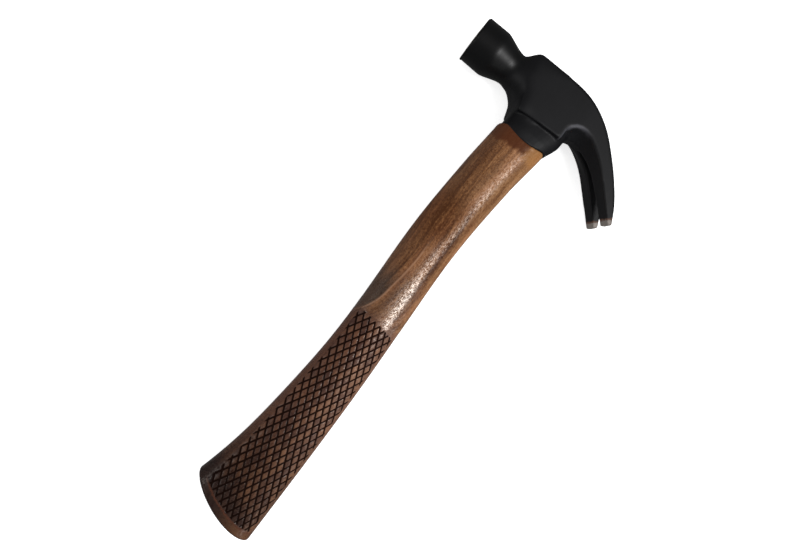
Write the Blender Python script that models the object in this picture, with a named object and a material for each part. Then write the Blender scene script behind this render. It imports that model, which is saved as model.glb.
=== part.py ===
"""Claw hammer: forged steel head on a wooden handle, held by one wooden and two steel wedges.

The hammer lies on its side: +X runs from the striking face to the claws, the handle runs
towards -Y and +Z is up. Lengths are in millimetres, measured from the datum: the point
where the axis of the poll crosses the middle of the eye. One empty then moves everything
so that the origin is at the bottom centre of the whole hammer.
"""
import bpy
import bmesh
import math
from mathutils import Vector

MM = 0.001
FIT_GAP = 0.3                 # clearance that touching pieces keep, on each side

# ---- driving dimensions of the head -------------------------------------------------
FACE_X = -55.7                # plane of the striking face
FACE_DIAMETER = 28.4
BELL_END_DIAMETER = 29.0      # the bell widens slightly behind the face
FACE_CHAMFER = 0.5
BELL_LENGTH = 15.2            # from the face to the start of the neck
NECK_DIAMETER = 21.0
NECK_X = -27.0                # narrowest place, where the cheeks start to flare out
CHEEK_REAR_X = 19.0
CHEEK_BOTTOM_Y = -21.9        # step from the cheeks down to the collar, at the front
CHEEK_BOTTOM_RISE = 0.06      # the step climbs this much for each millimetre towards the claws
CHEEK_WIDTH = 29.2            # thickness of the head across the cheeks
HEAD_TOP_Y = 14.0
HEAD_EDGE_RADIUS = 2.2
STEP_EDGE_RADIUS = 0.8
THROAT_START_X = -22.0        # where the underside of the neck begins to drop to the collar
THROAT_ROUNDNESS = 1.6        # 2 would make that drop a quarter ellipse, 1 a straight slope

COLLAR_FRONT_X = -12.2
COLLAR_LIP_FRONT_X = -13.4    # the front lip flares out a little
COLLAR_REAR_X = 24.2
COLLAR_WAIST_WIDTH = 24.2     # just below the cheeks
COLLAR_BOTTOM_WIDTH = 25.4
COLLAR_SQUARENESS = 3.0       # superellipse exponent: 2 is a plain ellipse
COLLAR_BOTTOM_Y = -31.3       # lower edge at the front and the rear
LOBE_DEPTH = 3.4              # how far the side lobes hang below that edge
LOBE_CENTRE_X = 2.1
LOBE_HALF_LENGTH = 13.6

CLAW_ROOT_WIDTH = 29.16       # a hair narrower than the cheeks, so that no two faces coincide
TINE_TIP_WIDTH = 26.6         # over both tines, at their tips
CLAW_TAPER_START = 2.5        # the claw keeps its width up to this place in its outline's points
SLOT_ROOT = (43.0, -6.5)      # middle of the round end of the claw slot
SLOT_TIP = (73.6, -40.3)
SLOT_ROOT_WIDTH = 2.4
SLOT_TIP_WIDTH = 8.6
SLOT_OVERRUN = 1.3            # the cutter is this many times as long as the slot

# ---- driving dimensions of the handle and the wedges --------------------------------
EYE_CENTRE_X = 2.6
EYE_LENGTH = 24.0             # along X at the waist
EYE_WIDTH = 16.6              # along Z at the waist
EYE_WAIST_Y = -6.0
EYE_TOP_GROWTH = 1.6          # how much longer and wider the eye is at the top
EYE_BOTTOM_GROWTH = 3.2       # and at the collar's lower edge
EYE_SQUARENESS = 2.6
TENON_TOP_Y = 13.8
KERF_DEPTH = 29.0
KERF_TOP_WIDTH = 3.4
KERF_BOTTOM_WIDTH = 1.2
STEEL_WEDGE_DEPTH = 14.0
STEEL_WEDGE_WIDTH = 11.0      # along Z
STEEL_WEDGE_THICKNESS = 2.2   # along X, at the top
STEEL_WEDGE_TIP = 0.6         # along X, at the sharp end
STEEL_WEDGE_TAPER = 1.0       # how much each side narrows along Z towards that end
STEEL_WEDGE_OFFSET = 6.2      # from the middle of the eye to each steel wedge

HANDLE_TOP_Y = -26.0          # the shaft's full section ends here, inside the collar's height
GRIP_END_Y = -240.0           # from here on the sections lean over towards the butt's slant
BUTT_MIDDLE_Y = -302.4        # middle of the slanted butt end
BUTT_SLANT = -0.36            # fall of the butt end for each millimetre towards the rear
BUTT_BULGE = 3.4              # how far the end's middle stands out beyond its corners
BUTT_EDGE_RADIUS = 1.8
HANDLE_SQUARENESS = 2.4
CUTTER_REACH = 40.0           # cutters run this far past the datum, clear of the hammer

# Outlines that the eye reads as one sweep: (y, x) for the handle's two edges, (y, z) for its half
# thickness and (x, y) for the outer edge of the claw and the lower edge of its sides.
HANDLE_FRONT = [(-26, -13.7), (-35, -14.3), (-63, -16.9), (-109, -19.2), (-164, -18.1),
                (-194, -18.6), (-228, -21.6), (-262, -26.1), (-300, -33.0)]
HANDLE_REAR = [(-26, 19.9), (-35, 19.0), (-63, 14.9), (-112, 11.1), (-164, 11.6),
               (-204, 12.3), (-252, 12.0), (-310, 10.7)]
HANDLE_HALF_THICKNESS = [(-26, 12.7), (-35, 12.5), (-70, 11.6), (-110, 11.2), (-165, 12.2),
                         (-220, 13.2), (-270, 14.2), (-308, 14.2)]
CLAW_OUTER = [(1.0, 13.8), (10.0, 13.8), (20.0, 12.5), (30.0, 8.9), (39.8, 3.2), (49.6, -5.5),
              (59.8, -16.1), (69.6, -28.7), (75.2, -40.2)]
CLAW_INNER = [(1.0, -6.0), (10.0, -9.0), (19.0, -10.9), (26.6, -6.2), (34.6, -7.8), (46.0, -15.2),
              (56.8, -25.4), (66.8, -35.8), (72.6, -41.8)]
# How far the middle of the underside hangs below the sides: the root of the claw has a keel,
# left between the two scoops, which runs out along the tines.
CLAW_KEEL = [6.0, 6.0, 6.5, 6.8, 4.2, 1.6, 0.5, 0.2, 0.0]
KEEL_HALF_WIDTH = 3.5


# ---- geometry helpers ---------------------------------------------------------------
def smooth_value(points, at):
    """Value at one place of a smooth curve through (place, value) points."""
    points = sorted(points)
    at = min(max(at, points[0][0]), points[-1][0])
    last = len(points) - 2
    i = min(max(j for j in range(len(points)) if points[j][0] <= at), last)

    def slope(j):
        before, after = points[max(j - 1, 0)], points[min(j + 1, len(points) - 1)]
        return (after[1] - before[1]) / (after[0] - before[0])

    (x0, y0), (x1, y1) = points[i], points[i + 1]
    step = x1 - x0
    t = (at - x0) / step
    start = (2 * t**3 - 3 * t**2 + 1) * y0 + (t**3 - 2 * t**2 + t) * step * slope(i)
    end = (3 * t**2 - 2 * t**3) * y1 + (t**3 - t**2) * step * slope(i + 1)
    return start + end


def between(start, end, t):
    return start + (end - start) * t


def steps(start, end, count):
    """Evenly spaced places from start to end, both included."""
    return [between(start, end, i / (count - 1)) for i in range(count)]


def rounded_rectangle(low, high, half_width, low_radius, high_radius, corner_steps=8):
    """Ring of (y, z) points: y from low to high, z over both half widths, round corners."""
    ring = []
    corners = [(high - high_radius, 1, high_radius, 0), (low + low_radius, 1, low_radius, 90),
               (low + low_radius, -1, low_radius, 180), (high - high_radius, -1, high_radius, 270)]
    for centre_y, side, radius, start in corners:
        centre_z = side * (half_width - radius)
        for angle in steps(start, start + 90, corner_steps):
            turn = math.radians(angle)
            ring.append((centre_y + radius * math.cos(turn), centre_z + radius * math.sin(turn)))
    return ring


def oval(centre, half_length, half_width, squareness, count=32):
    """Ring of (x, z) points on a superellipse; squareness 2 is a plain ellipse."""
    ring = []
    for i in range(count):
        turn = 2 * math.pi * (i + 0.5) / count
        c, s = math.cos(turn), math.sin(turn)
        x = math.copysign(abs(c) ** (2 / squareness), c)
        z = math.copysign(abs(s) ** (2 / squareness), s)
        ring.append((centre + half_length * x, half_width * z))
    return ring


def loft(name, rings):
    """Closed body through rings that all have the same number of points."""
    mesh = bmesh.new()
    rows = [[mesh.verts.new(Vector(point) * MM) for point in ring] for ring in rings]
    count = len(rows[0])
    for row, following in zip(rows, rows[1:]):
        for i in range(count):
            j = (i + 1) % count
            mesh.faces.new((row[i], row[j], following[j], following[i]))
    mesh.faces.new(rows[0])
    mesh.faces.new(rows[-1])
    bmesh.ops.recalc_face_normals(mesh, faces=mesh.faces)
    return to_object(name, mesh)


def to_object(name, mesh):
    data = bpy.data.meshes.new(name)
    mesh.to_mesh(data)
    mesh.free()
    obj = bpy.data.objects.new(name, data)
    bpy.context.scene.collection.objects.link(obj)
    return obj


def boolean(target, cutter, operation):
    """Apply one Boolean to target and remove the cutter."""
    modifier = target.modifiers.new(cutter.name, "BOOLEAN")
    modifier.object = cutter
    modifier.operation = operation
    modifier.solver = "EXACT"
    bpy.context.view_layer.update()
    evaluated = target.evaluated_get(bpy.context.evaluated_depsgraph_get())
    result = bpy.data.meshes.new_from_object(evaluated)
    target.modifiers.clear()
    target.data = result
    bpy.data.objects.remove(cutter)


def material(name, colour, roughness, metallic):
    made = bpy.data.materials.new(name)
    made.use_nodes = True
    shader = made.node_tree.nodes["Principled BSDF"]
    shader.inputs["Base Color"].default_value = (*colour, 1.0)
    shader.inputs["Roughness"].default_value = roughness
    shader.inputs["Metallic"].default_value = metallic
    return made


def finish(obj, parent, surface, smooth_angle=35):
    obj.parent = parent
    obj.data.materials.clear()
    obj.data.materials.append(surface)
    obj.data.shade_smooth()
    obj.data.set_sharp_from_angle(angle=math.radians(smooth_angle))


# ---- head ---------------------------------------------------------------------------
def ease(start, end, at):
    """Smooth rise from 0 at start to 1 at end."""
    t = min(max((at - start) / (end - start), 0.0), 1.0)
    return t * t * (3 - 2 * t)


def cheek_section(x):
    """Section of the neck and the cheeks at one x, from a circle to a flat-sided block."""
    neck, cheek = NECK_DIAMETER / 2, CHEEK_WIDTH / 2
    shoulder = ease(NECK_X + 0.5, NECK_X + 8.5, x)
    sides = ease(NECK_X, NECK_X + 11.0, x)
    lower_corner = ease(COLLAR_FRONT_X - 3.0, COLLAR_FRONT_X + 2.0, x)
    throat = min(max((x - THROAT_START_X) / (COLLAR_FRONT_X - THROAT_START_X), 0.0), 1.0)
    drop = 1 - (1 - throat**THROAT_ROUNDNESS) ** (1 / THROAT_ROUNDNESS)
    bottom = CHEEK_BOTTOM_Y + CHEEK_BOTTOM_RISE * max(x - COLLAR_FRONT_X, 0.0)
    return [(x, y, z) for y, z in rounded_rectangle(
        between(-neck, bottom, drop), between(neck, HEAD_TOP_Y, shoulder),
        between(neck, cheek, sides), between(neck, STEP_EDGE_RADIUS, lower_corner),
        between(neck, HEAD_EDGE_RADIUS, shoulder))]


def poll_and_cheeks():
    """Round poll, neck and flat-sided cheeks as one loft along X."""
    face, bell_end, neck = FACE_DIAMETER / 2, BELL_END_DIAMETER / 2, NECK_DIAMETER / 2
    turned = [(FACE_X, face - FACE_CHAMFER), (FACE_X + FACE_CHAMFER, face),
              (FACE_X + BELL_LENGTH, bell_end), (NECK_X - 3.0, neck + 0.4), (NECK_X - 1.5, neck + 0.1)]
    rings = [[(x, y, z) for y, z in rounded_rectangle(-radius, radius, radius, radius, radius)]
             for x, radius in turned]
    rings += [cheek_section(x) for x in steps(NECK_X, COLLAR_FRONT_X + 2.0, 13)]
    rings.append(cheek_section(1.0))
    rear_top = smooth_value(CLAW_OUTER, CHEEK_REAR_X) - 0.3
    rear_bottom = CHEEK_BOTTOM_Y + CHEEK_BOTTOM_RISE * (CHEEK_REAR_X - COLLAR_FRONT_X)
    rings.append([(CHEEK_REAR_X, y, z) for y, z in rounded_rectangle(
        rear_bottom, rear_top, CHEEK_WIDTH / 2, STEP_EDGE_RADIUS, HEAD_EDGE_RADIUS)])
    return loft("head", rings)


def claw():
    """Curved claw: sections from its outer edge to its underside, before the slot is cut."""
    rings = []
    last = len(CLAW_OUTER) - 1

    def along(values, place):
        return smooth_value(list(enumerate(values)), place)

    for place in steps(0, last, 3 * last + 1):
        outer = Vector([along(values, place) for values in zip(*CLAW_OUTER)])
        inner = Vector([along(values, place) for values in zip(*CLAW_INNER)])
        across = (inner - outer).normalized()
        depth = (inner - outer).length
        keel = along(CLAW_KEEL, place)
        taper = max(place - CLAW_TAPER_START, 0.0) / (last - CLAW_TAPER_START)
        half = between(CLAW_ROOT_WIDTH, TINE_TIP_WIDTH, taper) / 2
        edge = min(HEAD_EDGE_RADIUS, depth * 0.3)
        side = [(0.0, half - edge), (edge * 0.3, half - edge * 0.3), (edge, half), (depth, half),
                (depth + keel * 0.35, between(half, KEEL_HALF_WIDTH, 0.5)),
                (depth + keel, KEEL_HALF_WIDTH)]
        ring = side + [(d, -z) for d, z in reversed(side)]
        rings.append([(outer.x + across.x * d, outer.y + across.y * d, z) for d, z in ring])
    return loft("claw", rings)


def collar():
    """Adze eye: an oval collar below the cheeks, before its lower edge is cut to shape."""
    waist, bottom = COLLAR_WAIST_WIDTH / 2, COLLAR_BOTTOM_WIDTH / 2
    # y, front x, rear x, half width
    sections = [(-37.0, COLLAR_LIP_FRONT_X - 1.0, 17.0, bottom),
                (-31.3, COLLAR_LIP_FRONT_X, 19.5, bottom),
                (-28.5, COLLAR_FRONT_X - 0.2, 20.7, bottom),
                (-25.0, COLLAR_FRONT_X, 22.3, between(bottom, waist, 0.5)),
                (-21.5, COLLAR_FRONT_X, 23.6, waist),
                (-15.0, COLLAR_FRONT_X, COLLAR_REAR_X, waist),
                (-5.0, COLLAR_FRONT_X, COLLAR_REAR_X, waist)]
    rings = []
    for y, front, rear, half in sections:
        middle = (front + rear) / 2
        rings.append([(x, y, z) for x, z in oval(middle, rear - middle, half, COLLAR_SQUARENESS, 44)])
    return loft("collar", rings)


def lobe_edge(lowered):
    """Lower edge of the collar in side view, as (x, y) points, moved down by an amount."""
    edge = [(-CUTTER_REACH, COLLAR_BOTTOM_Y - lowered)]
    for t in steps(-1, 1, 13):
        y = COLLAR_BOTTOM_Y - LOBE_DEPTH * (1 - t * t) - lowered
        edge.append((LOBE_CENTRE_X + LOBE_HALF_LENGTH * t, y))
    edge.append((CUTTER_REACH, COLLAR_BOTTOM_Y - lowered))
    return edge


def beyond_lobe_edge(name, lowered, far_y):
    """Prism across the hammer, from the collar's lower edge to far_y above or below it."""
    outline = lobe_edge(lowered) + [(CUTTER_REACH, far_y), (-CUTTER_REACH, far_y)]
    return loft(name, [[(x, y, z) for x, y in outline] for z in (-CUTTER_REACH, CUTTER_REACH)])


def eye_body(name, gap, low, high):
    """Oval body that tapers to the waist of the eye; gap makes it smaller all round."""
    rings = []
    for y in (low, EYE_WAIST_Y, high):
        if y > EYE_WAIST_Y:
            growth = EYE_TOP_GROWTH * (y - EYE_WAIST_Y) / (HEAD_TOP_Y - EYE_WAIST_Y)
        else:
            growth = EYE_BOTTOM_GROWTH * (EYE_WAIST_Y - y) / (EYE_WAIST_Y - COLLAR_BOTTOM_Y)
        half_length = (EYE_LENGTH + growth) / 2 - gap
        half_width = (EYE_WIDTH + growth) / 2 - gap
        rings.append([(x, y, z) for x, z in oval(
            EYE_CENTRE_X, half_length, half_width, EYE_SQUARENESS)])
    return loft(name, rings)


def slot_cutter():
    """V-shaped slot between the tines, cut square to the line from its root to the tips."""
    root, tip = Vector(SLOT_ROOT), Vector(SLOT_TIP)
    along = (tip - root).normalized()
    through = Vector((-along.y, along.x))
    length = (tip - root).length
    root_half = SLOT_ROOT_WIDTH / 2
    end_half = between(root_half, SLOT_TIP_WIDTH / 2, SLOT_OVERRUN)
    outline = [(length * SLOT_OVERRUN, end_half), (0.0, root_half)]
    outline += [(-root_half * math.sin(math.radians(a)), root_half * math.cos(math.radians(a)))
                for a in (30, 60, 90, 120, 150)]
    outline += [(0.0, -root_half), (length * SLOT_OVERRUN, -end_half)]
    rings = []
    for depth in (-CUTTER_REACH / 2, CUTTER_REACH / 2):
        ring = []
        for s, z in outline:
            place = root + along * s + through * depth
            ring.append((place.x, place.y, z))
        rings.append(ring)
    return loft("slot_cutter", rings)


def make_head(parent, surface):
    head = poll_and_cheeks()
    eye_block = collar()
    boolean(eye_block, beyond_lobe_edge("below_collar", 0.0, -2 * CUTTER_REACH), "DIFFERENCE")
    boolean(head, claw(), "UNION")
    boolean(head, eye_block, "UNION")
    boolean(head, slot_cutter(), "DIFFERENCE")
    boolean(head, eye_body("eye", 0.0, -CUTTER_REACH, HEAD_TOP_Y + 3.0), "DIFFERENCE")
    finish(head, parent, surface)
    return head


# ---- handle -------------------------------------------------------------------------
def handle_ring(y, slant, bulge, inset):
    """One oval section of the handle. Near the butt it leans and bulges like the end face."""
    front = smooth_value(HANDLE_FRONT, y)
    rear = smooth_value(HANDLE_REAR, y)
    half = smooth_value(HANDLE_HALF_THICKNESS, y) - inset
    middle = (front + rear) / 2
    half_length = (rear - front) / 2 - inset
    ring = []
    for x, z in oval(middle, half_length, half, HANDLE_SQUARENESS, 36):
        across = (x - middle) / half_length
        ring.append((x, y + slant * (x - middle) + bulge * (across * across), z))
    return ring


def make_handle(parent, surface):
    rings = [handle_ring(y, 0.0, 0.0, 0.0) for y in steps(HANDLE_TOP_Y, GRIP_END_Y, 20)]
    for t in steps(0.125, 1.0, 8):
        y = between(GRIP_END_Y, BUTT_MIDDLE_Y + BUTT_EDGE_RADIUS, t)
        lean = t * t
        rings.append(handle_ring(y, BUTT_SLANT * lean, BUTT_BULGE * lean, 0.0))
    for angle in (30, 60, 90):
        turn = math.radians(angle)
        y = BUTT_MIDDLE_Y + BUTT_EDGE_RADIUS * (1 - math.sin(turn))
        inset = BUTT_EDGE_RADIUS * (1 - math.cos(turn))
        rings.append(handle_ring(y, BUTT_SLANT, BUTT_BULGE, inset))
    handle = loft("handle", rings)
    boolean(handle, beyond_lobe_edge("above_shoulder", FIT_GAP, 0.0), "DIFFERENCE")
    boolean(handle, eye_body("tenon", FIT_GAP, -CUTTER_REACH, TENON_TOP_Y), "UNION")
    boolean(handle, kerf_body("kerf", FIT_GAP, CUTTER_REACH), "DIFFERENCE")
    for sign in (-1, 1):
        boolean(handle, steel_wedge_body("steel_slot", sign, FIT_GAP), "DIFFERENCE")
    finish(handle, parent, surface)
    return handle


# ---- wedges -------------------------------------------------------------------------
def tapered_block(name, top, bottom, top_halves, bottom_halves, centre_x):
    """Block with a rectangular top and bottom; each pair of halves is along X and along Z."""
    rings = []
    for y, (half_x, half_z) in ((top, top_halves), (bottom, bottom_halves)):
        rings.append([(centre_x + half_x, y, half_z), (centre_x - half_x, y, half_z),
                      (centre_x - half_x, y, -half_z), (centre_x + half_x, y, -half_z)])
    return loft(name, rings)


def kerf_body(name, gap, half_length):
    """Saw cut down the long middle of the tenon. With no gap it is the body of its wedge."""
    rise = 2.0 * gap
    return tapered_block(name, TENON_TOP_Y + rise, TENON_TOP_Y - KERF_DEPTH - rise,
                         (half_length, KERF_TOP_WIDTH / 2 - FIT_GAP + gap),
                         (half_length, KERF_BOTTOM_WIDTH / 2 - FIT_GAP + gap), EYE_CENTRE_X)


def steel_wedge_body(name, sign, gap):
    """Small steel wedge driven across the wooden one, or the slot that it opens."""
    rise = 2.0 * gap
    half_top, half_bottom = STEEL_WEDGE_THICKNESS / 2 + gap, STEEL_WEDGE_TIP / 2 + gap
    width_top = STEEL_WEDGE_WIDTH / 2 + gap
    return tapered_block(name, TENON_TOP_Y + rise, TENON_TOP_Y - STEEL_WEDGE_DEPTH - gap,
                         (half_top, width_top), (half_bottom, width_top - STEEL_WEDGE_TAPER),
                         EYE_CENTRE_X + sign * STEEL_WEDGE_OFFSET)


def make_wedges(parent, wood, steel):
    wedge = kerf_body("wood_wedge", 0.0, EYE_LENGTH / 2 - 0.8)
    for sign in (-1, 1):
        boolean(wedge, steel_wedge_body("steel_slot", sign, FIT_GAP), "DIFFERENCE")
    finish(wedge, parent, wood)
    for sign, name in ((-1, "steel_wedge_front"), (1, "steel_wedge_rear")):
        finish(steel_wedge_body(name, sign, 0.0), parent, steel)


# ---- assembly -----------------------------------------------------------------------
def stand_on_origin(parent, pieces):
    """Move the parent so that the origin is at the bottom centre of all pieces together."""
    corners = [vertex.co for piece in pieces for vertex in piece.data.vertices]
    low = [min(corner[axis] for corner in corners) for axis in range(3)]
    high = [max(corner[axis] for corner in corners) for axis in range(3)]
    parent.location = (-(low[0] + high[0]) / 2, -(low[1] + high[1]) / 2, -low[2])


def main():
    for obj in list(bpy.data.objects):
        bpy.data.objects.remove(obj)
    datum = bpy.data.objects.new("datum", None)
    bpy.context.scene.collection.objects.link(datum)

    black_paint = material("black_paint", (0.025, 0.025, 0.030), 0.42, 0.0)
    varnished_wood = material("varnished_wood", (0.40, 0.19, 0.085), 0.35, 0.0)
    pale_wood = material("pale_wood", (0.55, 0.36, 0.19), 0.55, 0.0)
    bare_steel = material("bare_steel", (0.62, 0.62, 0.62), 0.35, 1.0)

    make_head(datum, black_paint)
    make_handle(datum, varnished_wood)
    make_wedges(datum, pale_wood, bare_steel)
    stand_on_origin(datum, [obj for obj in bpy.data.objects if obj.type == "MESH"])


main()
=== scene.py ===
"""Looks of the claw hammer: forged painted head, varnished wooden handle with a checkered grip.

Lengths are in millimetres from the datum of the design, the point where the axis of the poll
crosses the middle of the eye. to_world() turns them into the metres of the frame. The outlines
are those of the CAD model, and its head gives the datum's place.
"""
import math

import bmesh
import bpy
import numpy as np
from mathutils import Matrix, Vector


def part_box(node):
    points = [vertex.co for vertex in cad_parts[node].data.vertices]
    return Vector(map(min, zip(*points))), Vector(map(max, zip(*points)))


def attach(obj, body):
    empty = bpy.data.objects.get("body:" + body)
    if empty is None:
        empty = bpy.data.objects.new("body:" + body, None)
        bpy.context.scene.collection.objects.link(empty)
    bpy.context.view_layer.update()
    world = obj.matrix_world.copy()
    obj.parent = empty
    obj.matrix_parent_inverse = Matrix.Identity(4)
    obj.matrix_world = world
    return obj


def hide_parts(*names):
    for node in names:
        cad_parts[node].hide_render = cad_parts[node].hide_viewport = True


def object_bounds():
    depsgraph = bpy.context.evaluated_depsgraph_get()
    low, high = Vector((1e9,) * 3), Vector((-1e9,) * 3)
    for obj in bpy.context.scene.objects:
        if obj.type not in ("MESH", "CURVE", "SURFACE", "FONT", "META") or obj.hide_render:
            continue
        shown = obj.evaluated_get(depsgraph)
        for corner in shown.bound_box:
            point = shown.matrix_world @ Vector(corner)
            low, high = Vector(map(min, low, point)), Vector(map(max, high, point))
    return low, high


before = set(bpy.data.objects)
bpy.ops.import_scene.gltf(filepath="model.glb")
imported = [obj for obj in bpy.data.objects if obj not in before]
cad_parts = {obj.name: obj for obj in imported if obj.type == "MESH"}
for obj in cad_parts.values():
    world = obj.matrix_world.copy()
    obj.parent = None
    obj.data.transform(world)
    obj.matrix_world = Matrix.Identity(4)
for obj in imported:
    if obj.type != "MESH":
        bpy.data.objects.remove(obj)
CAD_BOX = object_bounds()

MM = 0.001
HEAD_LOW, HEAD_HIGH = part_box("head")
FACE_X = -55.7                # plane of the striking face
HEAD_TOP_Y = 14.0
DATUM = Vector((HEAD_LOW.x - FACE_X * MM, HEAD_HIGH.y - HEAD_TOP_Y * MM, (HEAD_LOW.z + HEAD_HIGH.z) / 2))

# ---- handle: outlines as (y, x) for the front and rear edges, and (y, z) for half the thickness
HANDLE_FRONT = [(-26, -13.7), (-35, -14.3), (-63, -16.9), (-109, -19.2), (-164, -18.1),
                (-194, -18.6), (-228, -21.6), (-262, -26.1), (-300, -33.0)]
HANDLE_REAR = [(-26, 19.9), (-35, 19.0), (-63, 14.9), (-112, 11.1), (-164, 11.6),
               (-204, 12.3), (-252, 12.0), (-310, 10.7)]
HANDLE_HALF_THICKNESS = [(-26, 12.7), (-35, 12.5), (-70, 11.6), (-110, 11.2), (-165, 12.2),
                         (-220, 13.2), (-270, 14.2), (-308, 14.2)]
HANDLE_SQUARENESS = 2.4       # superellipse exponent: 2 is a plain ellipse
BELOW_COLLAR_Y = -40.0        # the first level section of the shaft
GRIP_END_Y = -240.0           # from here on the sections lean over towards the butt's slant
BUTT_MIDDLE_Y = -302.4
BUTT_SLANT = -0.36
BUTT_BULGE = 3.4
BUTT_EDGE_RADIUS = 1.8
FIT_GAP = 0.3

COLLAR_BOTTOM_Y = -31.3       # lower edge of the collar at the front and the rear
LOBE_DEPTH = 3.4              # its side lobes hang this far below that edge
LOBE_CENTRE_X = 2.1
LOBE_HALF_LENGTH = 13.6
SHOULDER_ROUND = 0.5          # the wood is rounded over where it meets the collar

EYE_CENTRE_X = 2.6
EYE_LENGTH = 24.0
EYE_WIDTH = 16.6
EYE_WAIST_Y = -6.0
EYE_TOP_GROWTH = 1.6
EYE_BOTTOM_GROWTH = 3.2
EYE_SQUARENESS = 2.6
TENON_TOP_Y = 13.8
TENON_CHAMFER = 0.3
KERF_DEPTH = 29.0
KERF_TOP_WIDTH = 3.4
KERF_BOTTOM_WIDTH = 1.2
STEEL_WEDGE_DEPTH = 14.0
STEEL_WEDGE_WIDTH = 11.0
STEEL_WEDGE_THICKNESS = 2.2
STEEL_WEDGE_TIP = 0.6
STEEL_WEDGE_TAPER = 1.0
STEEL_WEDGE_OFFSET = 6.2
CUTTER_RISE = 2 * FIT_GAP     # the cutters stand out of the tenon by this much
CUTTER_REACH = 40.0
WEDGE_EDGE_WEAR = 0.2

# ---- checkered grip: straight crossing grooves, cut into both faces along Z
DIAMOND_WIDTH = 3.88
DIAMOND_LENGTH = 7.7
DIAMOND_TILT = math.radians(-2.8)     # turn of the diamonds away from straight along the handle
GROOVE_CROSSING = (-8.8, -169.9)      # one place where two grooves cross
GROOVE_HALF_WIDTH = 0.6
GROOVE_DEPTH = 0.5
GROOVE_RUN_OUT = 0.5          # over this length a groove rises to the surface at the border
PATTERN_TOP_FRONT = (-16.0, -167.9)   # the upper border is the line through these two places
PATTERN_TOP_REAR = (8.5, -172.0)
PATTERN_BUTT_MARGIN = 5.9
PATTERN_REAR_STRIP = 2.3      # plain wood between the pattern and the rear edge
PATTERN_FRONT_STRIP = [(-300, 3.9), (-262, 3.2), (-230, 2.3), (-165, 2.1)]

# A pale line of the grain, (y, x), from the collar to the front edge just above the pattern.
GRAIN_LINE = [(-30, -4.5), (-60, -7.2), (-90, -7.6), (-124, -6.5), (-137, -7.4), (-149, -9.3),
              (-158, -10.8), (-166, -14.2), (-175, -20.0), (-310, -60.0)]

HALF_COLUMNS = 125            # mesh columns on each half of the handle's girth
SHAFT_ROWS = 58
GRIP_ROW = 0.52               # spacing of the mesh rows along the grip
SHARP_ANGLE = math.radians(55)

# ---- head
HEAD_VOXEL = 0.49
POLL_SIDES = 28               # the CAD poll is a prism with this many sides
NECK_X = -27.0
FACE_RADIUS = 14.2
POLL_PROFILE = [(FACE_X, FACE_RADIUS), (FACE_X + 15.2, 14.5), (NECK_X - 3.0, 10.9), (NECK_X, 10.5)]
RIDGE_ROUNDING = 1.2
FACE_CROWN = 0.35             # the striking face stands proud by this much in its middle
CLAW_DIRECTION = (0.671, -0.741)      # from the datum to the tips of the claw
CLAW_BARE_FROM = 77.6         # along that direction, the paint ends and the bare tips begin
# Edge of the scoop under the claw in side view, from the cheek's lower rear corner to the tips.
SCOOP_RIM = [(18.9, -20.0), (18.7, -14.0), (20.2, -10.0), (22.4, -7.8), (25.4, -6.5), (29.1, -6.1),
             (33.5, -7.8), (46.0, -15.2), (56.8, -25.4), (66.8, -35.8), (72.6, -41.8)]


def to_world(points):
    return np.asarray(points, float) * MM + np.array(DATUM)


def to_datum(points):
    return (np.asarray(points, float) - np.array(DATUM)) / MM


def between(start, end, t):
    return start + (end - start) * t


def ease(start, end, at):
    """Smooth rise from 0 at start to 1 at end, for numbers or arrays."""
    t = np.clip((np.asarray(at, float) - start) / (end - start), 0.0, 1.0)
    return t * t * (3 - 2 * t)


def smooth_curve(points):
    """Function for the smooth curve through (place, value) points."""
    places, values = np.array(sorted(points), float).T
    slopes = np.empty(len(places))
    slopes[1:-1] = (values[2:] - values[:-2]) / (places[2:] - places[:-2])
    slopes[0] = (values[1] - values[0]) / (places[1] - places[0])
    slopes[-1] = (values[-1] - values[-2]) / (places[-1] - places[-2])

    def value(at):
        at = np.clip(at, places[0], places[-1])
        i = np.clip(np.searchsorted(places, at, side="right") - 1, 0, len(places) - 2)
        step = places[i + 1] - places[i]
        t = (at - places[i]) / step
        start = (2 * t**3 - 3 * t**2 + 1) * values[i] + (t**3 - 2 * t**2 + t) * step * slopes[i]
        end = (3 * t**2 - 2 * t**3) * values[i + 1] + (t**3 - t**2) * step * slopes[i + 1]
        return start + end

    return value


def unit_oval(half_length, half_width, squareness):
    """Ring of unit (x, z) points from the rear over the top to the front and back underneath,
    evenly spaced along the girth of an oval of the given size."""
    turn = np.linspace(0, math.pi, 721)
    x = np.sign(np.cos(turn)) * np.abs(np.cos(turn)) ** (2 / squareness)
    z = np.abs(np.sin(turn)) ** (2 / squareness)
    travel = np.hypot(np.diff(x * half_length), np.diff(z * half_width))
    travel = np.concatenate([[0], np.cumsum(travel)])
    stops = np.linspace(0, travel[-1], HALF_COLUMNS + 1)
    x, z = np.interp(stops, travel, x), np.interp(stops, travel, z)
    z[[0, -1]] = 0.0
    inner = slice(HALF_COLUMNS - 1, 0, -1)
    return np.concatenate([x, x[inner]]), np.concatenate([z, -z[inner]])


def mesh_object(name, points, faces):
    """New object in the frame's metres from points in millimetres from the datum."""
    data = bpy.data.meshes.new(name)
    data.from_pydata(to_world(points).tolist(), [], faces)
    data.validate()
    data.update()
    return add_object(name, data)


def add_object(name, data):
    obj = bpy.data.objects.new(name, data)
    bpy.context.scene.collection.objects.link(obj)
    return obj


def add_attribute(obj, name, values):
    attribute = obj.data.attributes.new(name, "FLOAT", "POINT")
    attribute.data.foreach_set("value", np.asarray(values, np.float32))


def apply_modifiers(obj):
    bpy.context.view_layer.update()
    evaluated = obj.evaluated_get(bpy.context.evaluated_depsgraph_get())
    result = bpy.data.meshes.new_from_object(evaluated)
    obj.modifiers.clear()
    obj.data = result


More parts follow.
